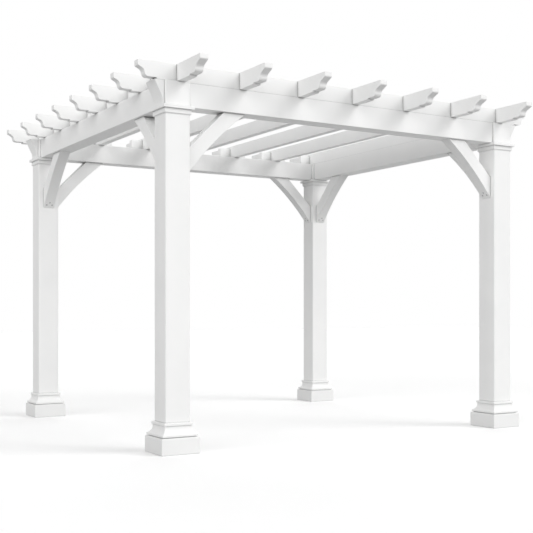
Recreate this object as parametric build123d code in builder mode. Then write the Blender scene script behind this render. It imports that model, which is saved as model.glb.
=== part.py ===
from build123d import *
from math import cos, radians, sin
import os

# A white garden pergola: four boxed posts, a ring of beams, eight curved knee braces,
# seven rafters with ogee tails front and back, and a row of short cross tails on each side.
# Millimetres. X runs along the front, Y runs to the back, Z is up, and the ground is at Z = 0.

os.makedirs("parts", exist_ok=True)

# Posts
post_side = 165.0
post_wall = 6.0
post_corner_radius = 3.0
post_spacing_x = 2680.0
post_spacing_y = 2440.0

# Plinth blocks round the foot of each post
plinth_side = 254.0
plinth_height = 103.0
plinth_chamfer = 4.0

# Base moulding, swept round the post on top of the plinth, with a deep quirk under its foot
quirk_out = 24.0
quirk_height = 8.0
foot_fillet_out = 37.0
foot_fillet_height = 9.0
cove_top_out = 9.0
cove_height = 54.0
band_out = 14.0
band_height = 17.0
band_round = 5.0

# Collar under the beams: a thin tier over a taller and narrower one
collar_top_out = 22.0
collar_top_height = 19.0
collar_low_out = 7.0
collar_low_height = 34.0
collar_chamfer = 2.0

# Beams, which butt against the sides of the post necks
beam_underside = 2119.0
beam_height = 150.0
beam_thickness = 132.0
beam_edge_radius = 3.0

# Short beam ends that stand out past the posts, with a slanted cut down to a low upright toe
beam_end_length = 66.0
beam_end_foot = 42.0
beam_end_toe = 12.0

# Curved knee braces
brace_thickness = 86.0
brace_inner_leg = 256.0
brace_outer_leg = 410.0
brace_sag = 20.0

# Rafters and cross boards
rafter_count = 7
rafter_thickness = 55.0
rafter_height = 105.0
rafter_overhang = 380.0
rafter_inset = 27.0
cross_row_count = 8
cross_thickness = 55.0
cross_overhang = 256.0
last_row_past_post = 205.0
lap_height = 52.0

# Blocks that hold the rafters apart on the back beam
spacer_length = 100.0
spacer_height = 85.0

# Ogee outline of a tail, from its tip inward and down: nose, slope, cove, bulge, ledge and step
nose_radius = 12.0
slope_angle = 25.0
rafter_slope_length = 42.0
cross_slope_length = 18.0
rafter_cove_radius = 28.0
cross_cove_radius = 36.0
cove_end_angle = 85.0
bulge_radius = 24.0
ledge_run = 55.0
step_height = 8.0

# Clearances
sleeve_gap = 0.3
lap_gap = 0.3

# Places that follow from the sizes above
post_x = post_spacing_x / 2
post_y = post_spacing_y / 2
neck_face_x = post_x + post_side / 2
bay_x = post_x - post_side / 2
bay_y = post_y - post_side / 2
beam_top = beam_underside + beam_height
roof_top = beam_top + rafter_height
sleeve_inside = post_side / 2 + sleeve_gap
half_roof_x = post_x + cross_overhang
half_roof_y = post_y + rafter_overhang
front_row_y = -(post_y + beam_thickness / 2 - cross_thickness / 2)
last_row_y = post_y + last_row_past_post
row_step = (last_row_y - front_row_y) / (cross_row_count - 1)
outer_rafter_x = post_x - rafter_inset
rafter_step = 2 * outer_rafter_x / (rafter_count - 1)

corners = {
    "front_left": (-1, -1),
    "front_right": (1, -1),
    "back_left": (-1, 1),
    "back_right": (1, 1),
}


def save(piece, name):
    """Label a finished piece and write it to its own file."""
    piece.part.label = name
    export_step(piece.part, f"parts/{name}.step")


def ogee_tail(tip, inner_end, slope_length, cove_radius):
    """Draw one tail and the underside behind it, up to inner_end, in the board's side plane."""
    slope_dip = radians(slope_angle)
    cove_dip = radians(cove_end_angle)
    curve_drop = nose_radius * cos(slope_dip) + slope_length * sin(slope_dip)
    curve_drop += cove_radius * (cos(slope_dip) - cos(cove_dip)) + bulge_radius * (1 - cos(cove_dip))
    nose_height = rafter_height - curve_drop - step_height
    nose = Line((tip, roof_top), (tip, roof_top - nose_height))
    round_under = JernArc(nose @ 1, (0, -1), nose_radius, slope_angle - 90)
    slope = Line(round_under @ 1, (round_under @ 1) + (round_under % 1) * slope_length)
    cove = JernArc(slope @ 1, slope % 1, cove_radius, cove_end_angle - slope_angle)
    bulge = JernArc(cove @ 1, cove % 1, bulge_radius, -cove_end_angle)
    ledge = Line(bulge @ 1, ((bulge @ 1).X - ledge_run, beam_top + step_height))
    step = Line(ledge @ 1, ((ledge @ 1).X, beam_top))
    Line(step @ 1, (inner_end, beam_top))


def brace_outline():
    """Draw a knee brace whose corner, where beam and post meet, is at 0, 0."""
    upper = Line((0, -brace_inner_leg), (brace_inner_leg, 0))
    along_beam = Line(upper @ 1, (brace_outer_leg, 0))
    middle = brace_outer_leg / 2 - brace_sag / 2**0.5
    lower = ThreePointArc(along_beam @ 1, (middle, -middle), (0, -brace_outer_leg))
    Line(lower @ 1, upper @ 0)


# Feet, posts and collars, one set at each corner
for corner, (side_x, side_y) in corners.items():
    centre = (side_x * post_x, side_y * post_y)

    with BuildPart() as post:
        with BuildSketch() as section:
            with Locations(centre):
                RectangleRounded(post_side, post_side, post_corner_radius)
        extrude(amount=beam_top)
        with BuildSketch() as hollow:
            with Locations(centre):
                Rectangle(post_side - 2 * post_wall, post_side - 2 * post_wall)
        extrude(amount=beam_top - post_wall, mode=Mode.SUBTRACT)
    save(post, f"post_{corner}")

    with BuildPart() as plinth:
        with BuildSketch() as block:
            with Locations(centre):
                Rectangle(plinth_side, plinth_side)
        extrude(amount=plinth_height)
        chamfer(plinth.faces().sort_by(Axis.Z)[-1].edges(), length=plinth_chamfer)
        with BuildSketch() as socket:
            with Locations(centre):
                Rectangle(2 * sleeve_inside, 2 * sleeve_inside)
        extrude(amount=plinth_height, mode=Mode.SUBTRACT)
    save(plinth, f"plinth_{corner}")

    with BuildPart() as moulding:
        with BuildLine(Plane.XY.offset(plinth_height)) as way_round:
            inner = sleeve_inside
            Polyline(
                (centre[0] + inner, centre[1] - inner),
                (centre[0] + inner, centre[1] + inner),
                (centre[0] - inner, centre[1] + inner),
                (centre[0] - inner, centre[1] - inner),
                close=True,
            )
        profile_plane = Plane(
            origin=(centre[0] + inner, centre[1] - inner, plinth_height), x_dir=(1, 0, 0), z_dir=(0, -1, 0)
        )
        with BuildSketch(profile_plane) as profile:
            with BuildLine():
                cove_foot = quirk_height + foot_fillet_height
                cove_head = cove_foot + cove_height
                top = cove_head + band_height
                foot = Line((0, 0), (quirk_out, 0))
                quirk = Line(foot @ 1, (quirk_out, quirk_height))
                drip = Line(quirk @ 1, (foot_fillet_out, quirk_height))
                edge = Line(drip @ 1, (foot_fillet_out, cove_foot))
                sweep_in = foot_fillet_out - cove_top_out
                hollow_mid = (cove_top_out + sweep_in * 0.2, cove_foot + cove_height * 0.35)
                curve = ThreePointArc(edge @ 1, hollow_mid, (cove_top_out, cove_head))
                under = Line(curve @ 1, (band_out, cove_head))
                band = Line(under @ 1, (band_out, top - band_round))
                crown = JernArc(band @ 1, (0, 1), band_round, 90)
                Line(crown @ 1, (0, top))
                Line((0, top), foot @ 0)
            make_face()
        sweep(path=way_round.wires()[0], transition=Transition.RIGHT)
    save(moulding, f"base_moulding_{corner}")

    with BuildPart() as collar:
        low_start = beam_underside - collar_top_height - collar_low_height
        with BuildSketch(Plane.XY.offset(low_start)) as low_tier:
            with Locations(centre):
                Rectangle(post_side + 2 * collar_low_out, post_side + 2 * collar_low_out)
        extrude(amount=collar_low_height)
        with BuildSketch(Plane.XY.offset(beam_underside - collar_top_height)) as top_tier:
            with Locations(centre):
                Rectangle(post_side + 2 * collar_top_out, post_side + 2 * collar_top_out)
        extrude(amount=collar_top_height)
        chamfer(collar.faces().sort_by(Axis.Z)[-1].edges(), length=collar_chamfer)
        with BuildSketch(Plane.XY.offset(low_start)) as through:
            with Locations(centre):
                Rectangle(2 * sleeve_inside, 2 * sleeve_inside)
        extrude(amount=collar_low_height + collar_top_height, mode=Mode.SUBTRACT)
    save(collar, f"collar_{corner}")

    with BuildPart() as beam_end:
        with BuildSketch(Plane.XZ.offset(-centre[1])) as end_outline:
            with BuildLine():
                near = side_x * neck_face_x
                far = side_x * (neck_face_x + beam_end_length)
                toe = side_x * (neck_face_x + beam_end_toe)
                Polyline(
                    (near, beam_underside),
                    (near, beam_top),
                    (far, beam_top),
                    (toe, beam_underside + beam_end_foot),
                    (toe, beam_underside),
                    (near, beam_underside),
                )
            make_face()
        extrude(amount=beam_thickness / 2, both=True)
    save(beam_end, f"beam_end_{corner}")

    with BuildPart() as brace_x:
        brace_plane = Plane(
            origin=(side_x * bay_x, centre[1], beam_underside), x_dir=(-side_x, 0, 0), z_dir=(0, side_x, 0)
        )
        with BuildSketch(brace_plane) as outline_x:
            with BuildLine():
                brace_outline()
            make_face()
        extrude(amount=brace_thickness / 2, both=True)
    save(brace_x, f"brace_{corner}_x")

    with BuildPart() as brace_y:
        brace_plane = Plane(
            origin=(centre[0], side_y * bay_y, beam_underside), x_dir=(0, -side_y, 0), z_dir=(-side_y, 0, 0)
        )
        with BuildSketch(brace_plane) as outline_y:
            with BuildLine():
                brace_outline()
            make_face()
        extrude(amount=brace_thickness / 2, both=True)
    save(brace_y, f"brace_{corner}_y")

# Four beams between the necks
for name, side_y in (("beam_front", -1), ("beam_back", 1)):
    with BuildPart() as beam:
        with BuildSketch(Plane.YZ.offset(-bay_x)) as section:
            with Locations((side_y * post_y, beam_underside + beam_height / 2)):
                RectangleRounded(beam_thickness, beam_height, beam_edge_radius)
        extrude(amount=2 * bay_x)
    save(beam, name)

for name, side_x in (("beam_left", -1), ("beam_right", 1)):
    with BuildPart() as beam:
        with BuildSketch(Plane.XZ.offset(-bay_y)) as section:
            with Locations((side_x * post_x, beam_underside + beam_height / 2)):
                RectangleRounded(beam_thickness, beam_height, beam_edge_radius)
        extrude(amount=2 * bay_y)
    save(beam, name)

# Rafters from front to back, each lapped over the front cross board
for number in range(rafter_count):
    rafter_x = -outer_rafter_x + number * rafter_step
    with BuildPart() as rafter:
        with BuildSketch(Plane.YZ.offset(rafter_x)) as side_outline:
            with BuildLine():
                Line((0, roof_top), (half_roof_y, roof_top))
                ogee_tail(half_roof_y, 0, rafter_slope_length, rafter_cove_radius)
                mirror(about=Plane.YZ)
            make_face()
        extrude(amount=rafter_thickness / 2, both=True)
        with BuildSketch(Plane.XY.offset(beam_top)) as lap:
            with Locations((rafter_x, front_row_y)):
                Rectangle(2 * rafter_thickness, cross_thickness + 2 * lap_gap)
        extrude(amount=lap_height + lap_gap / 2, mode=Mode.SUBTRACT)
    save(rafter, f"rafter_{number + 1}")

# Cross board over the front beam, notched from above for every rafter, with a tail at each end
with BuildPart() as front_cross_board:
    with BuildSketch(Plane.XZ.offset(-front_row_y)) as board_outline:
        with BuildLine():
            Line((0, roof_top), (half_roof_x, roof_top))
            ogee_tail(half_roof_x, 0, cross_slope_length, cross_cove_radius)
            mirror(about=Plane.YZ)
        make_face()
    extrude(amount=cross_thickness / 2, both=True)
    with BuildSketch(Plane.XY.offset(beam_top + lap_height - lap_gap / 2)) as notches:
        with GridLocations(rafter_step, 0, rafter_count, 1):
            with Locations((0, front_row_y)):
                Rectangle(rafter_thickness + 2 * lap_gap, 2 * cross_thickness)
    extrude(amount=rafter_height, mode=Mode.SUBTRACT)
save(front_cross_board, "front_cross_board")

# Spacer blocks on the back beam, one on each side of a rafter inside the roof
with BuildPart() as spacer_blocks:
    with BuildSketch(Plane.XY.offset(beam_top)) as block_plan:
        for number in range(rafter_count - 1):
            left_face = -outer_rafter_x + number * rafter_step + rafter_thickness / 2
            right_face = left_face + rafter_step - rafter_thickness
            with Locations((left_face + spacer_length / 2, -front_row_y), (right_face - spacer_length / 2, -front_row_y)):
                Rectangle(spacer_length, cross_thickness)
    extrude(amount=spacer_height)
save(spacer_blocks, "spacer_blocks")

# Short cross tails, which butt against the outer rafters and lie on the side beams
outer_rafter_face = outer_rafter_x + rafter_thickness / 2
for name, side_x in (("cross_tails_left", -1), ("cross_tails_right", 1)):
    with BuildPart() as tails:
        for row in range(1, cross_row_count):
            row_y = front_row_y + row * row_step
            with BuildSketch(Plane.XZ.offset(-row_y)) as tail_outline:
                with BuildLine() as tail_edge:
                    Line((outer_rafter_face, roof_top), (half_roof_x, roof_top))
                    ogee_tail(half_roof_x, outer_rafter_face, cross_slope_length, cross_cove_radius)
                    Line((outer_rafter_face, beam_top), (outer_rafter_face, roof_top))
                make_face()
                if side_x < 0:
                    mirror(about=Plane.YZ, mode=Mode.REPLACE)
            extrude(amount=cross_thickness / 2, both=True)
    save(tails, name)
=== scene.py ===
import math

import bmesh
import bpy
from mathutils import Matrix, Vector


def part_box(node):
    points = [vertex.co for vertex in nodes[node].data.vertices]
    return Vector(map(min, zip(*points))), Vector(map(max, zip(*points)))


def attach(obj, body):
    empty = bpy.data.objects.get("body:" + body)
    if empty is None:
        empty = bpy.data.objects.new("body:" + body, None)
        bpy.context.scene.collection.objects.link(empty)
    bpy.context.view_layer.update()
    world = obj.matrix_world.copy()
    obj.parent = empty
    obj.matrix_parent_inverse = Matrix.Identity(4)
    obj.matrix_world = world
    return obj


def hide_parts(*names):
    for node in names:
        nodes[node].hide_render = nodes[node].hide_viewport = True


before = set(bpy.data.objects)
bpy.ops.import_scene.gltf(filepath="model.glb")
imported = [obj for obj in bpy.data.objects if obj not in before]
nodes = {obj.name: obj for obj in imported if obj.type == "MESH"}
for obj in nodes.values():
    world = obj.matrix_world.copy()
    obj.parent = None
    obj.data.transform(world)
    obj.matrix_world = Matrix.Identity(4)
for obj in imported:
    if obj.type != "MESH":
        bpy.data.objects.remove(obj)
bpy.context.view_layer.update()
scene = bpy.context.scene
corners = ("front_left", "front_right", "back_left", "back_right")
quarterTurn = math.radians(90)
print("frame loaded:", len(nodes), "nodes")

# The photograph's frame, in pixels, and the level camera that was fitted to it
photoCamera = {
    "imageSide": 533.0,
    "focalPixels": 982.6,
    "vanishX": 266.5,
    "horizonY": 308.8,
    "place": (-3.937, -6.707, 0.883),
    "turn": 0.5378,
    "sensorWidth": 36.0,
    "farClip": 200.0,
}


def placeCamera():
    view = photoCamera
    side = view["imageSide"]
    camera = bpy.data.cameras.new("photoCamera")
    camera.sensor_width = view["sensorWidth"]
    camera.lens = camera.sensor_width * view["focalPixels"] / side
    camera.shift_x = (side / 2 - view["vanishX"]) / side
    camera.shift_y = (view["horizonY"] - side / 2) / side
    camera.clip_end = view["farClip"]
    cameraObject = bpy.data.objects.new("photoCamera", camera)
    cameraObject.location = view["place"]
    cameraObject.rotation_euler = (quarterTurn, 0, -view["turn"])
    scene.collection.objects.link(cameraObject)
    scene.camera = cameraObject


placeCamera()
print("camera placed")


# Vinyl: a clean satin white in soft clouds, faint draw lines along the extrusion and a fine orange peel, with
# painted shade where parts meet: an ambient-occlusion mask darkens the base colour in hollows.
# The crease and corner levels are the painted shade in a narrow and in a wide hollow.
lightSkin = (0.905, 0.905, 0.90)
dullSkin = (0.88, 0.882, 0.878)
vinylLooks = {
    "postVinyl": {"run": "Z", "rough": (0.52, 0.62), "crease": 0.56, "corner": 0.84},
    "trimVinyl": {"run": "", "rough": (0.54, 0.66), "crease": 0.74, "corner": 1.0},
    "acrossVinyl": {"run": "X", "rough": (0.52, 0.62), "crease": 0.78, "corner": 0.52},
    "alongVinyl": {"run": "Y", "rough": (0.52, 0.62), "crease": 0.70, "corner": 0.62},
    "braceVinyl": {"run": "", "rough": (0.54, 0.64), "crease": 0.75, "corner": 0.82},
    "screwPaint": {"run": "", "rough": (0.45, 0.60), "crease": 0.50, "corner": 0.70, "fade": 0.55},
}
grain = {
    "index": 1.5,
    "specular": 0.35,
    "cloudScale": 3.2,
    "cloudDetail": 4.0,
    "cloudSpan": (0.35, 0.62),
    "shineScale": 11.0,
    "shineDetail": 5.0,
    "shineSpan": (0.3, 0.7),
    "peelScale": 420.0,
    "peelDetail": 2.0,
    "peelDepth": 0.00012,
    "peelStrength": 0.5,
    "lineScale": 130.0,
    "lineDetail": 2.0,
    "lineStretch": 0.012,
    "lineShare": 0.35,
    # Samples, reach and range of the painted shade in narrow creases and in wide corners
    "hollowSamples": 12,
    "creaseReach": 0.012,
    "creaseSpan": (0.35, 0.9),
    "cornerReach": 0.06,
    "cornerSpan": (0.2, 0.75),
}


def grey(level):
    return (level, level, level, 1)


def addNode(tree, kind, place, **values):
    node = tree.nodes.new(kind)
    node.location = place
    for name, value in values.items():
        setattr(node, name, value)
    return node


# The Mix node's colours are its inputs 6 and 7, and the mixed colour is its output 2
def mixColour(tree, place, blend, factor, first, second):
    mix = addNode(tree, "ShaderNodeMix", place, data_type="RGBA", blend_type=blend)
    sockets = [mix.inputs[0], mix.inputs[6], mix.inputs[7]]
    for socket, value in zip(sockets, (factor, first, second)):
        if isinstance(value, bpy.types.NodeSocket):
            tree.links.new(value, socket)
        else:
            socket.default_value = value
    return mix.outputs[2]


def noiseTexture(tree, place, where, scale, detail):
    noise = addNode(tree, "ShaderNodeTexNoise", place)
    noise.inputs["Scale"].default_value = scale
    noise.inputs["Detail"].default_value = detail
    tree.links.new(where, noise.inputs["Vector"])
    return noise.outputs["Fac"]


def mapRange(tree, place, value, fromSpan, toSpan=(0.0, 1.0)):
    spread = addNode(tree, "ShaderNodeMapRange", place)
    for name, level in zip(("From Min", "From Max", "To Min", "To Max"), (*fromSpan, *toSpan)):
        spread.inputs[name].default_value = level
    tree.links.new(value, spread.inputs["Value"])
    return spread.outputs["Result"]


# Painted shade: darkens the colour towards the given level in hollows that an ambient-occlusion node finds
# within reach
def paintedHollowShade(tree, up, reach, span, paintedShade):
    hollow = addNode(tree, "ShaderNodeAmbientOcclusion", (-800, up), samples=grain["hollowSamples"])
    hollow.inputs["Distance"].default_value = reach
    openness = mapRange(tree, (-580, up), hollow.outputs["AO"], span)
    return mixColour(tree, (-300, up - 100), "MIX", openness, grey(paintedShade), grey(1))


def vinylMaterial(name, look):
    material = bpy.data.materials.new(name)
    material.use_nodes = True
    tree = material.node_tree
    tree.nodes.clear()
    link = tree.links.new
    output = addNode(tree, "ShaderNodeOutputMaterial", (900, 0))
    shader = addNode(tree, "ShaderNodeBsdfPrincipled", (600, 0))
    link(shader.outputs["BSDF"], output.inputs["Surface"])
    shader.inputs["IOR"].default_value = grain["index"]
    shader.inputs["Specular IOR Level"].default_value = grain["specular"]
    place = addNode(tree, "ShaderNodeTexCoord", (-1200, 0)).outputs["Object"]

    clouds = noiseTexture(tree, (-800, 260), place, grain["cloudScale"], grain["cloudDetail"])
    tint = addNode(tree, "ShaderNodeValToRGB", (-500, 260))
    fade = look.get("fade", 1.0)
    for stop, position, skin in zip(tint.color_ramp.elements, grain["cloudSpan"], (dullSkin, lightSkin)):
        stop.position = position
        stop.color = (*[part * fade for part in skin], 1)
    link(clouds, tint.inputs["Fac"])
    # Painted shade of the wide corners and the narrow creases, multiplied into the clouded white
    corner = paintedHollowShade(tree, 700, grain["cornerReach"], grain["cornerSpan"], look["corner"])
    crease = paintedHollowShade(tree, 950, grain["creaseReach"], grain["creaseSpan"], look["crease"])
    paintedShade = mixColour(tree, (0, 700), "MULTIPLY", 1.0, corner, crease)
    skin = mixColour(tree, (250, 400), "MULTIPLY", 1.0, tint.outputs["Color"], paintedShade)
    link(skin, shader.inputs["Base Color"])

    shine = noiseTexture(tree, (-800, 0), place, grain["shineScale"], grain["shineDetail"])
    link(mapRange(tree, (-500, 0), shine, grain["shineSpan"], look["rough"]), shader.inputs["Roughness"])

    height = noiseTexture(tree, (-800, -260), place, grain["peelScale"], grain["peelDetail"])
    if look["run"]:
        stretch = addNode(tree, "ShaderNodeMapping", (-1000, -520))
        scales = [grain["lineStretch"] if axis == look["run"] else 1.0 for axis in "XYZ"]
        stretch.inputs["Scale"].default_value = scales
        link(place, stretch.inputs["Vector"])
        drawn = stretch.outputs["Vector"]
        lines = noiseTexture(tree, (-800, -520), drawn, grain["lineScale"], grain["lineDetail"])
        both = addNode(tree, "ShaderNodeMath", (-200, -400), operation="MULTIPLY_ADD")
        both.inputs[1].default_value = grain["lineShare"]
        link(lines, both.inputs[0])
        link(height, both.inputs[2])
        height = both.outputs["Value"]
    bump = addNode(tree, "ShaderNodeBump", (200, -260))
    bump.inputs["Strength"].default_value = grain["peelStrength"]
    bump.inputs["Distance"].default_value = grain["peelDepth"]
    link(height, bump.inputs["Height"])
    link(bump.outputs["Normal"], shader.inputs["Normal"])
    return material


vinyls = {name: vinylMaterial(name, look) for name, look in vinylLooks.items()}
print("vinyl mixed")

# Mesh helpers
drawing = {"weldDistance": 1e-6, "arcStep": math.radians(6), "sharpAngle": math.radians(30)}


def newPiece(name, points, faces):
    mesh = bpy.data.meshes.new(name)
    mesh.from_pydata(points, [], faces)
    shell = bmesh.new()
    shell.from_mesh(mesh)
    bmesh.ops.remove_doubles(shell, verts=shell.verts, dist=drawing["weldDistance"])
    bmesh.ops.recalc_face_normals(shell, faces=shell.faces)
    shell.to_mesh(mesh)
    shell.free()
    piece = bpy.data.objects.new(name, mesh)
    scene.collection.objects.link(piece)
    return piece


def faceBand(count, low, high):
    return [(low + i, low + (i + 1) % count, high + (i + 1) % count, high + i) for i in range(count)]


def boardMesh(outline, across, low, high, first=0):
    count = len(outline)
    if across == "X":
        points = [(side, a, b) for side in (low, high) for a, b in outline]
    else:
        points = [(a, side, b) for side in (low, high) for a, b in outline]
    ends = [tuple(range(first, first + count)), tuple(range(first + count, first + 2 * count))]
    return points, ends + faceBand(count, first, first + count)


def squareRing(name, profile):
    turns = ((-1, -1), (1, -1), (1, 1), (-1, 1))
    points = [(reach * x, reach * y, z) for reach, z in profile for x, y in turns]
    faces = []
    for i in range(len(profile)):
        faces += faceBand(4, 4 * i, 4 * ((i + 1) % len(profile)))
    return newPiece(name, points, faces)


# Each move is a length with no turn, or else a radius with the angle to turn through
def walk(start, heading, moves):
    x, z = start
    points = [start]
    for length, turn in moves:
        if not turn:
            x += length * math.cos(heading)
            z += length * math.sin(heading)
            points.append((x, z))
            continue
        steps = max(3, math.ceil(abs(turn) / drawing["arcStep"]))
        small = turn / steps
        for _ in range(steps):
            chord = 2 * length * math.sin(abs(small) / 2)
            x += chord * math.cos(heading + small / 2)
            z += chord * math.sin(heading + small / 2)
            heading += small
            points.append((x, z))
    return points


def arcThrough(first, middle, last, steps):
    (ax, ay), (bx, by), (cx, cy) = first, middle, last
    a, b, c = ax**2 + ay**2, bx**2 + by**2, cx**2 + cy**2
    d = 2 * (ax * (by - cy) + bx * (cy - ay) + cx * (ay - by))
    ux = (a * (by - cy) + b * (cy - ay) + c * (ay - by)) / d
    uy = (a * (cx - bx) + b * (ax - cx) + c * (bx - ax)) / d
    radius = math.hypot(ax - ux, ay - uy)
    start = math.atan2(ay - uy, ax - ux)
    sweep = (math.atan2(cy - uy, cx - ux) - start + math.pi) % (2 * math.pi) - math.pi
    angles = [start + sweep * i / steps for i in range(steps + 1)]
    return [(ux + radius * math.cos(angle), uy + radius * math.sin(angle)) for angle in angles]


# Two node trees: one repeats a part along a row, the other sets it on the four corners of a rectangle
# and turns the copies on the side that turnBeyond points to
def newTree(name, inputs):
    tree = bpy.data.node_groups.new(name, "GeometryNodeTree")
    tree.is_modifier = True
    for label, kind in inputs:
        tree.interface.new_socket(name=label, in_out="INPUT", socket_type=kind)
    tree.interface.new_socket(name="geometry", in_out="OUTPUT", socket_type="NodeSocketGeometry")
    start = addNode(tree, "NodeGroupInput", (-700, 0))
    realize = addNode(tree, "GeometryNodeRealizeInstances", (300, 0))
    paint = addNode(tree, "GeometryNodeSetMaterial", (500, 0))
    end = addNode(tree, "NodeGroupOutput", (700, 0))
    tree.links.new(realize.outputs["Geometry"], paint.inputs["Geometry"])
    tree.links.new(start.outputs["material"], paint.inputs["Material"])
    tree.links.new(paint.outputs["Geometry"], end.inputs["geometry"])
    return tree, start, realize


def rowTree():
    inputs = (
        ("part", "NodeSocketGeometry"),
        ("count", "NodeSocketInt"),
        ("step", "NodeSocketVector"),
        ("material", "NodeSocketMaterial"),
    )
    tree, start, realize = newTree("repeatInRow", inputs)
    link = tree.links.new
    row = addNode(tree, "GeometryNodeMeshLine", (-400, 0), mode="OFFSET")
    link(start.outputs["count"], row.inputs["Count"])
    link(start.outputs["step"], row.inputs["Offset"])
    copies = addNode(tree, "GeometryNodeInstanceOnPoints", (0, 0))
    link(row.outputs["Mesh"], copies.inputs["Points"])
    link(start.outputs["part"], copies.inputs["Instance"])
    link(copies.outputs["Instances"], realize.inputs["Geometry"])
    return tree


def cornerTree():
    inputs = (
        ("part", "NodeSocketGeometry"),
        ("spanX", "NodeSocketFloat"),
        ("spanY", "NodeSocketFloat"),
        ("turnBeyond", "NodeSocketVector"),
        ("turnBy", "NodeSocketFloat"),
        ("material", "NodeSocketMaterial"),
    )
    tree, start, realize = newTree("setOnCorners", inputs)
    link = tree.links.new
    grid = addNode(tree, "GeometryNodeMeshGrid", (-400, 200))
    grid.inputs["Vertices X"].default_value = 2
    grid.inputs["Vertices Y"].default_value = 2
    link(start.outputs["spanX"], grid.inputs["Size X"])
    link(start.outputs["spanY"], grid.inputs["Size Y"])
    place = addNode(tree, "GeometryNodeInputPosition", (-700, -300))
    side = addNode(tree, "ShaderNodeVectorMath", (-500, -300), operation="DOT_PRODUCT")
    link(place.outputs["Position"], side.inputs[0])
    link(start.outputs["turnBeyond"], side.inputs[1])
    beyond = addNode(tree, "ShaderNodeMath", (-350, -300), operation="GREATER_THAN")
    link(side.outputs["Value"], beyond.inputs[0])
    beyond.inputs[1].default_value = 0.0
    angle = addNode(tree, "ShaderNodeMath", (-200, -300), operation="MULTIPLY")
    link(beyond.outputs["Value"], angle.inputs[0])
    link(start.outputs["turnBy"], angle.inputs[1])
    turn = addNode(tree, "ShaderNodeCombineXYZ", (-50, -300))
    link(angle.outputs["Value"], turn.inputs["Z"])
    copies = addNode(tree, "GeometryNodeInstanceOnPoints", (100, 0))
    link(grid.outputs["Mesh"], copies.inputs["Points"])
    link(start.outputs["part"], copies.inputs["Instance"])
    link(turn.outputs["Vector"], copies.inputs["Rotation"])
    link(copies.outputs["Instances"], realize.inputs["Geometry"])
    return tree


trees = {"row": rowTree(), "corners": cornerTree()}


def runTree(piece, tree, **values):
    modifier = piece.modifiers.new(tree.name, "NODES")
    modifier.node_group = tree
    for item in tree.interface.items_tree:
        if item.in_out == "INPUT" and item.name in values:
            modifier[item.identifier] = values[item.name]
    depsgraph = bpy.context.evaluated_depsgraph_get()
    plain = bpy.data.meshes.new_from_object(piece.evaluated_get(depsgraph), depsgraph=depsgraph)
    piece.modifiers.remove(modifier)
    piece.data = plain
    plain.name = piece.name


def finishPiece(piece, replaced, edge, segments=2):
    for face in piece.data.polygons:
        face.use_smooth = True
    piece.data.set_sharp_from_angle(angle=drawing["sharpAngle"])
    soften = piece.modifiers.new("softEdges", "BEVEL")
    soften.width = edge
    soften.segments = segments
    soften.limit_method = "ANGLE"
    soften.angle_limit = drawing["sharpAngle"]
    soften.harden_normals = True
    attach(piece, "root")
    if replaced:
        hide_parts(*replaced)
    print(piece.name, "made,", len(piece.data.polygons), "faces before its edges are softened")


def perCorner(name, ending=""):
    return [f"{name}_{corner}{ending}" for corner in corners]


# Places that the other parts are set by
postLow, postHigh = [Vector(corner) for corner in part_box("post_front_left")]
postSide = postHigh.x - postLow.x
postX, postY = -(postLow.x + postHigh.x) / 2, -(postLow.y + postHigh.y) / 2
postSpans = {"spanX": 2 * postX, "spanY": 2 * postY}
beamTop = postHigh.z
beamLow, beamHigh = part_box("beam_front")
beamUnder = beamLow[2]
beamDepth = beamHigh[1] - beamLow[1]
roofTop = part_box("rafter_1")[1][2]

postSleeve = {"cornerRadius": 0.008, "cornerSteps": 6, "wall": 0.006, "edge": 0.0015}


def roundedSquare(half, radius, steps):
    loop = []
    for corner in range(4):
        middle = quarterTurn * (corner + 0.5)
        cx = math.copysign(half - radius, math.cos(middle))
        cy = math.copysign(half - radius, math.sin(middle))
        for i in range(steps + 1):
            angle = quarterTurn * (corner + i / steps)
            loop.append((cx + radius * math.cos(angle), cy + radius * math.sin(angle)))
    return loop


def makePosts():
    size = postSleeve
    wall, radius = size["wall"], size["cornerRadius"]
    outer = roundedSquare(postSide / 2, radius, size["cornerSteps"])
    inner = roundedSquare(postSide / 2 - wall, radius - wall / 2, size["cornerSteps"])
    count = len(outer)
    rings = ((inner, beamTop - wall), (inner, 0), (outer, 0), (outer, beamTop))
    points = [(x, y, z) for loop, z in rings for x, y in loop]
    faces = [tuple(range(count)), tuple(range(3 * count, 4 * count))]
    for ring in range(3):
        faces += faceBand(count, ring * count, (ring + 1) * count)
    posts = newPiece("postSleeves", points, faces)
    runTree(posts, trees["corners"], **postSpans, material=vinyls["postVinyl"])
    finishPiece(posts, perCorner("post"), size["edge"])


makePosts()

sleeveGap = 0.0003  # keeps the inside of each trim off the face of the post
trimInside = postSide / 2 + sleeveGap


def setTrim(ring, name, edge):
    runTree(ring, trees["corners"], **postSpans, material=vinyls["trimVinyl"])
    finishPiece(ring, perCorner(name), edge)


plinthLow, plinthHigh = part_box("plinth_front_left")
plinthTop = plinthHigh[2]
plinthBlock = {"chamfer": 0.004, "edge": 0.002}


def makePlinths():
    half, cut = (plinthHigh[0] - plinthLow[0]) / 2, plinthBlock["chamfer"]
    profile = [(trimInside, 0), (half, 0), (half, plinthTop - cut)]
    profile += [(half - cut, plinthTop), (trimInside, plinthTop)]
    setTrim(squareRing("plinthBlocks", profile), "plinth", plinthBlock["edge"])


makePlinths()

baseMould = {
    "quirkOut": 0.026,
    "quirkHeight": 0.0055,
    "footOut": 0.037,
    "footHeight": 0.0115,
    "coveOut": 0.009,
    "coveHeight": 0.054,
    "coveHollow": (0.2, 0.35),
    "coveSteps": 14,
    "groove": 0.003,
    "bandOut": 0.014,
    "bandHeight": 0.017,
    "bandRound": 0.005,
    "edge": 0.0008,
}


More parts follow.
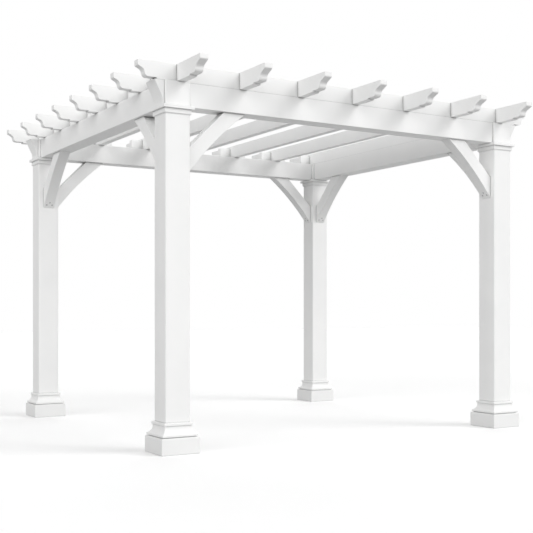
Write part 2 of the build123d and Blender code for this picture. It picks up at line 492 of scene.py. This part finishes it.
def makeMouldings():
    size = baseMould
    quirkOut, footOut, coveOut = size["quirkOut"], size["footOut"], size["coveOut"]
    groove, bandRound = size["groove"], size["bandRound"]
    quirkTop = plinthTop + size["quirkHeight"]
    coveFoot = quirkTop + size["footHeight"]
    coveHead = coveFoot + size["coveHeight"]
    hollowOut, hollowUp = size["coveHollow"]
    hollow = (coveOut + (footOut - coveOut) * hollowOut, coveFoot + size["coveHeight"] * hollowUp)
    profile = [(0, plinthTop), (quirkOut, plinthTop), (quirkOut, quirkTop), (footOut, quirkTop)]
    profile += arcThrough((footOut, coveFoot), hollow, (coveOut, coveHead - groove), size["coveSteps"])
    profile += [(coveOut - groove, coveHead - groove), (coveOut - groove, coveHead)]
    moves = [(size["bandHeight"] - bandRound, 0), (bandRound, quarterTurn)]
    profile += walk((size["bandOut"], coveHead), quarterTurn, moves)
    profile += [(0, coveHead + size["bandHeight"])]
    ring = squareRing("baseMouldings", [(trimInside + out, z) for out, z in profile])
    setTrim(ring, "base_moulding", size["edge"])


makeMouldings()

collarTiers = {
    "topOut": 0.022,
    "topHeight": 0.019,
    "lowOut": 0.007,
    "lowHeight": 0.034,
    "groove": 0.0015,
    "lip": 0.0055,
    "chamfer": 0.002,
    "edge": 0.0008,
}


def makeCollars():
    size = collarTiers
    groove, lip, cut = size["groove"], size["lip"], size["chamfer"]
    step = beamUnder - size["topHeight"]
    start = step - size["lowHeight"]
    lowOut, topOut = postSide / 2 + size["lowOut"], postSide / 2 + size["topOut"]
    profile = [(trimInside, start), (lowOut - lip, start), (lowOut - lip, start + lip), (lowOut, start + lip)]
    profile += [(lowOut, step - groove), (lowOut - groove, step - groove), (lowOut - groove, step)]
    profile += [(topOut, step), (topOut, beamUnder - cut), (topOut - cut, beamUnder), (trimInside, beamUnder)]
    setTrim(squareRing("collars", profile), "collar", size["edge"])


makeCollars()

beamEnd = {"length": 0.066, "foot": 0.042, "toe": 0.012, "edge": 0.0025}


def makeBeamEnds():
    size = beamEnd
    toe = -size["toe"]
    outline = [(0, beamUnder), (0, beamTop), (-size["length"], beamTop)]
    outline += [(toe, beamUnder + size["foot"]), (toe, beamUnder)]
    ends = newPiece("beamEnds", *boardMesh(outline, "Y", -beamDepth / 2, beamDepth / 2))
    spans = {"spanX": 2 * postX + postSide, "spanY": 2 * postY}
    turn = {"turnBeyond": (1, 0, 0), "turnBy": math.pi}
    runTree(ends, trees["corners"], **spans, **turn, material=vinyls["trimVinyl"])
    finishPiece(ends, perCorner("beam_end"), size["edge"])


makeBeamEnds()

kneeBrace = {
    "thickness": 0.086,
    "innerLeg": 0.256,
    "outerLeg": 0.410,
    "sag": 0.020,
    "arcSteps": 24,
    "edge": 0.0025,
}
# Each spot is a screw's distance from the brace's toe and from its middle line
screwHead = {
    "radius": 0.0065,
    "height": 0.0018,
    "rimShare": 1 / 3,
    "crownShare": 0.75,
    "driveRadius": 0.0028,
    "driveDepth": 0.0022,
    "sunk": 0.0008,
    "sides": 16,
    "edge": 0.0003,
    "spots": ((0.030, -0.022), (0.030, 0.022), (0.052, 0.0)),
}


def screwMesh(spots, outward, sideways):
    size = screwHead
    radius, height, drive, sides = size["radius"], size["height"], size["driveRadius"], size["sides"]
    rings = (
        (radius, -size["sunk"]),
        (radius, height * size["rimShare"]),
        (radius * size["crownShare"], height),
        (drive, height),
        (drive, height - size["driveDepth"]),
    )
    beside = outward.cross(sideways)
    angles = [2 * math.pi * i / sides for i in range(sides)]
    around = [sideways * math.cos(angle) + beside * math.sin(angle) for angle in angles]
    points, faces = [], []
    for middle in spots:
        first = len(points)
        points += [middle + outward * up + way * reach for reach, up in rings for way in around]
        faces += [tuple(range(first, first + sides)), tuple(range(len(points) - sides, len(points)))]
        for ring in range(first, len(points) - sides, sides):
            faces += faceBand(sides, ring, ring + sides)
    return points, faces


def makeBraces():
    size = kneeBrace
    inner, outer, half = size["innerLeg"], size["outerLeg"], size["thickness"] / 2
    middle = outer / 2 - size["sag"] / math.sqrt(2)
    arc = arcThrough((outer, 0), (middle, -middle), (0, -outer), size["arcSteps"])
    outline = [(a, beamUnder + b) for a, b in [(0, -inner), (inner, 0)] + arc]
    toe = Vector((0, 0, beamUnder - outer))
    climbOut, climbUp = Vector((arc[-2][0], arc[-2][1] + outer)).normalized()
    ways = (
        ("Across", "_x", "Y", (1, 0, 0), 2 * postX - postSide, 2 * postY),
        ("Along", "_y", "X", (0, 1, 0), 2 * postX, 2 * postY - postSide),
    )
    for name, ending, across, ahead, spanX, spanY in ways:
        out, up = Vector(ahead), Vector((0, 0, 1))
        sideways = Vector((1, 1, 0)) - out
        climb = out * climbOut + up * climbUp
        spots = [toe + climb * rise + sideways * aside for rise, aside in screwHead["spots"]]
        braces = newPiece("braces" + name, *boardMesh(outline, across, -half, half))
        screws = newPiece("braceScrews" + name, *screwMesh(spots, out * climbUp - up * climbOut, sideways))
        turn = {"spanX": spanX, "spanY": spanY, "turnBeyond": ahead, "turnBy": math.pi}
        for piece, vinyl in ((braces, "braceVinyl"), (screws, "screwPaint")):
            runTree(piece, trees["corners"], **turn, material=vinyls[vinyl])
        finishPiece(braces, perCorner("brace", ending), size["edge"])
        finishPiece(screws, [], screwHead["edge"], 1)


makeBraces()

roofBoards = {
    "thickness": 0.055,
    "rafterCount": 7,
    "rowCount": 8,
    "lapHeight": 0.052,
    "lapGap": 0.0006,
    "tailJoint": 0.004,
    "noseRadius": 0.012,
    "slopeAngle": math.radians(25),
    "rafterSlope": 0.042,
    "crossSlope": 0.018,
    "rafterCove": 0.028,
    "crossCove": 0.036,
    "coveEnd": math.radians(85),
    "bulgeRadius": 0.024,
    "ledgeRun": 0.055,
    "stepHeight": 0.008,
    "blockLength": 0.100,
    "edge": 0.002,
}


def ogeeTail(tip, slope, cove):
    size = roofBoards
    dip, steep, nose, bulge = size["slopeAngle"], size["coveEnd"], size["noseRadius"], size["bulgeRadius"]
    drop = nose * math.cos(dip) + slope * math.sin(dip)
    drop += cove * (math.cos(dip) - math.cos(steep)) + bulge * (1 - math.cos(steep))
    noseHeight = roofTop - beamTop - drop - size["stepHeight"]
    moves = [(noseHeight, 0), (nose, dip - quarterTurn), (slope, 0), (cove, steep - dip), (bulge, -steep)]
    points = walk((tip, roofTop), -quarterTurn, moves + [(size["ledgeRun"], 0)])
    return points + [(points[-1][0], beamTop)]


def makeRoof():
    size = roofBoards
    count, gap = size["rafterCount"], size["lapGap"]
    half = size["thickness"] / 2
    slot = half + gap
    lapTop = beamTop + size["lapHeight"]
    low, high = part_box("rafter_1")
    firstX, halfRoofY = (low[0] + high[0]) / 2, high[1]
    rafterStep = -2 * firstX / (count - 1)
    boardLow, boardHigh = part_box("front_cross_board")
    rowY, halfRoofX = (boardLow[1] + boardHigh[1]) / 2, boardHigh[0]

    tail = ogeeTail(halfRoofY, size["rafterSlope"], size["rafterCove"])
    notch = [(rowY + slot, beamTop), (rowY + slot, lapTop + gap)]
    notch += [(rowY - slot, lapTop + gap), (rowY - slot, beamTop)]
    outline = tail + notch + [(-y, z) for y, z in reversed(tail)]
    rafters = newPiece("rafters", *boardMesh(outline, "X", firstX - half, firstX + half))
    runTree(rafters, trees["row"], count=count, step=(rafterStep, 0, 0), material=vinyls["alongVinyl"])
    finishPiece(rafters, [f"rafter_{i + 1}" for i in range(count)], size["edge"])

    tail = ogeeTail(halfRoofX, size["crossSlope"], size["crossCove"])
    outline = tail + [(-x, z) for x, z in reversed(tail)]
    for i in range(count):
        x = firstX + i * rafterStep
        outline += [(x - slot, roofTop), (x - slot, lapTop), (x + slot, lapTop), (x + slot, roofTop)]
    board = newPiece("frontCrossBoard", *boardMesh(outline, "Y", rowY - half, rowY + half))
    board.data.materials.append(vinyls["acrossVinyl"])
    finishPiece(board, ["front_cross_board"], size["edge"])

    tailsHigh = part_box("cross_tails_left")[1]
    rows = size["rowCount"] - 1
    rowStep = (tailsHigh[1] - half - rowY) / rows
    firstY = rowY + rowStep
    inner = -tailsHigh[0] - size["tailJoint"]
    for name, side in (("Left", -1), ("Right", 1)):
        outline = [(side * x, z) for x, z in tail + [(inner, beamTop), (inner, roofTop)]]
        tails = newPiece("crossTails" + name, *boardMesh(outline, "Y", firstY - half, firstY + half))
        runTree(tails, trees["row"], count=rows, step=(0, rowStep, 0), material=vinyls["acrossVinyl"])
        finishPiece(tails, ["cross_tails_" + name.lower()], size["edge"])

    blockLow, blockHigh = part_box("spacer_blocks")
    length, bay = size["blockLength"], rafterStep - size["thickness"]
    points, faces = [], []
    for start in (blockLow[0], blockLow[0] + bay - length):
        end = start + length
        outline = [(start, blockLow[2]), (end, blockLow[2]), (end, blockHigh[2]), (start, blockHigh[2])]
        morePoints, moreFaces = boardMesh(outline, "Y", blockLow[1], blockHigh[1], len(points))
        points += morePoints
        faces += moreFaces
    blocks = newPiece("spacerBlocks", points, faces)
    runTree(blocks, trees["row"], count=count - 1, step=(rafterStep, 0, 0), material=vinyls["acrossVinyl"])
    finishPiece(blocks, ["spacer_blocks"], size["edge"])


makeRoof()

beamLooks = {
    "beam_front": "acrossVinyl",
    "beam_back": "acrossVinyl",
    "beam_left": "alongVinyl",
    "beam_right": "alongVinyl",
}
for name, vinyl in beamLooks.items():
    nodes[name].data.materials.clear()
    nodes[name].data.materials.append(vinyls[vinyl])
print("beams painted")

# Soft studio: broad low lamps from the front, a higher key, weak ones overhead and behind, and a white sky.
# Angles are in degrees, and azimuth runs from the front to the right. The floor reads paler to the camera
# than it is to the light that it throws back.
studio = {
    "floorSize": 60.0,
    "floorForCamera": 1.0,
    "floorForBounce": 0.42,
    "floorLift": 0.075,
    "sky": 0.13,
    "skyForCamera": 1.0,
    "lampDistance": 12,
    "lamps": {
        "keyLight": {"azimuth": 30, "height": 18, "strength": 1.27, "angle": 50},
        "highKey": {"azimuth": 50, "height": 40, "strength": 0.75, "angle": 28},
        "frontFill": {"azimuth": -40, "height": 18, "strength": 0.92, "angle": 50},
        "sideFill": {"azimuth": -75, "height": 18, "strength": 1.02, "angle": 50},
        "backFill": {"azimuth": 150, "height": 25, "strength": 1.30, "angle": 70},
        "overhead": {"azimuth": 0, "height": 90, "strength": 0.55, "angle": 60},
    },
}


def backgroundRay(tree):
    path = addNode(tree, "ShaderNodeLightPath", (-600, 300))
    value = path.outputs["Is Camera Ray"]
    for step, ray in enumerate(("Is Glossy Ray", "Is Transmission Ray")):
        either = addNode(tree, "ShaderNodeMath", (200 * step - 350, 300), operation="MAXIMUM")
        tree.links.new(value, either.inputs[0])
        tree.links.new(path.outputs[ray], either.inputs[1])
        value = either.outputs["Value"]
    return value


def glow(tree, kind, place, strength):
    shader = addNode(tree, kind, place)
    shader.inputs["Color"].default_value = grey(1)
    shader.inputs["Strength"].default_value = strength
    return shader


def matt(tree, place, level):
    shader = addNode(tree, "ShaderNodeBsdfDiffuse", place)
    shader.inputs["Color"].default_value = grey(level)
    return shader


def placeLamps():
    for name, size in studio["lamps"].items():
        azimuth, height = math.radians(size["azimuth"]), math.radians(size["height"])
        level = math.cos(height)
        towards = Vector((math.sin(azimuth) * level, -math.cos(azimuth) * level, math.sin(height)))
        lamp = bpy.data.lights.new(name, "SUN")
        lamp.energy = size["strength"]
        lamp.angle = math.radians(size["angle"])
        lampObject = bpy.data.objects.new(name, lamp)
        lampObject.rotation_euler = towards.to_track_quat("Z", "Y").to_euler()
        lampObject.location = towards * studio["lampDistance"]
        scene.collection.objects.link(lampObject)


def hangSky():
    world = bpy.data.worlds.new("studioSky")
    scene.world = world
    world.use_nodes = True
    tree = world.node_tree
    tree.nodes.clear()
    out = addNode(tree, "ShaderNodeOutputWorld", (600, 0))
    sky = glow(tree, "ShaderNodeBackground", (0, 100), studio["sky"])
    seen = glow(tree, "ShaderNodeBackground", (0, -100), studio["skyForCamera"])
    mix = addNode(tree, "ShaderNodeMixShader", (300, 0))
    tree.links.new(backgroundRay(tree), mix.inputs["Fac"])
    tree.links.new(sky.outputs["Background"], mix.inputs[1])
    tree.links.new(seen.outputs["Background"], mix.inputs[2])
    tree.links.new(mix.outputs["Shader"], out.inputs["Surface"])


def layFloor():
    half = studio["floorSize"] / 2
    mesh = bpy.data.meshes.new("studioFloor")
    square = [(-half, -half, 0), (half, -half, 0), (half, half, 0), (-half, half, 0)]
    mesh.from_pydata(square, [], [(0, 1, 2, 3)])
    floor = bpy.data.objects.new("studioFloor", mesh)
    scene.collection.objects.link(floor)
    material = bpy.data.materials.new("floorPaint")
    material.use_nodes = True
    tree = material.node_tree
    tree.nodes.clear()
    out = addNode(tree, "ShaderNodeOutputMaterial", (900, 0))
    bounce = matt(tree, (0, 100), studio["floorForBounce"])
    paint = matt(tree, (0, -50), studio["floorForCamera"])
    lift = glow(tree, "ShaderNodeEmission", (0, -200), studio["floorLift"])
    paler = addNode(tree, "ShaderNodeAddShader", (250, -100))
    mix = addNode(tree, "ShaderNodeMixShader", (600, 0))
    tree.links.new(backgroundRay(tree), mix.inputs["Fac"])
    tree.links.new(paint.outputs["BSDF"], paler.inputs[0])
    tree.links.new(lift.outputs["Emission"], paler.inputs[1])
    tree.links.new(bounce.outputs["BSDF"], mix.inputs[1])
    tree.links.new(paler.outputs["Shader"], mix.inputs[2])
    tree.links.new(mix.outputs["Shader"], out.inputs["Surface"])
    mesh.materials.append(material)


placeLamps()
hangSky()
layFloor()
scene.view_settings.view_transform = "Standard"
print("studio lit")
